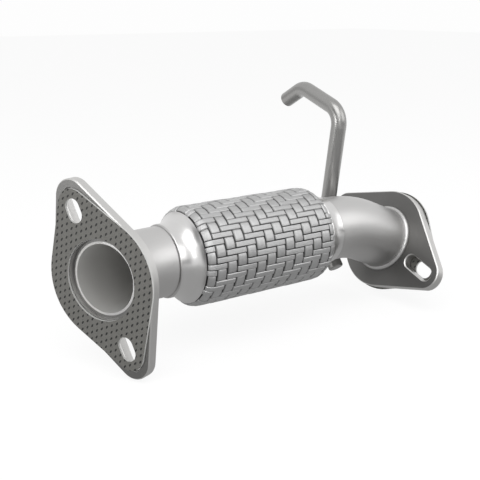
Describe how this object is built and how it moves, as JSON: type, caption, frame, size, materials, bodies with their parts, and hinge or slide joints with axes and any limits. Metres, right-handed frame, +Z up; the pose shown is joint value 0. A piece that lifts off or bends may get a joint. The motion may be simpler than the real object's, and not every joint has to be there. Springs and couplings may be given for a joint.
{
  "type": "exhaust front pipe",
  "caption": "Bent exhaust pipe with a braided flexible joint, a slotted oval flange and gasket at each end, and a welded hanger rod.",
  "frame": {"origin": "centre of the inlet bore at the inlet flange's outer face", "axes": "+X along the flexible joint from inlet to outlet, +Z up"},
  "size_m": [0.3196, 0.1576, 0.1777],
  "materials": {
    "pipe_steel": "satin",
    "cap_steel": "polished",
    "braid_steel": "satin",
    "inner_steel": "satin",
    "flange_steel": "satin",
    "weld_steel": "satin",
    "rod_steel": "satin",
    "gasket_sheet": "matt"
  },
  "bodies": {
    "root": {"inlet_gasket": "gasket_sheet", "outlet_gasket": "gasket_sheet", "inlet_flange": "flange_steel", "outlet_flange": "flange_steel", "inlet_flange_weld": "weld_steel", "outlet_flange_weld": "weld_steel", "flex_inlet_weld": "weld_steel", "flex_outlet_weld": "weld_steel", "hanger_welds": "weld_steel", "inlet_tube": "pipe_steel", "outlet_tube": "pipe_steel", "flex_inlet_cap": "cap_steel", "flex_outlet_cap": "cap_steel", "flex_braid": "braid_steel", "flex_bellows": "inner_steel", "flex_liner": "inner_steel", "hanger_rod": "rod_steel"}
  },
  "joints": []
}
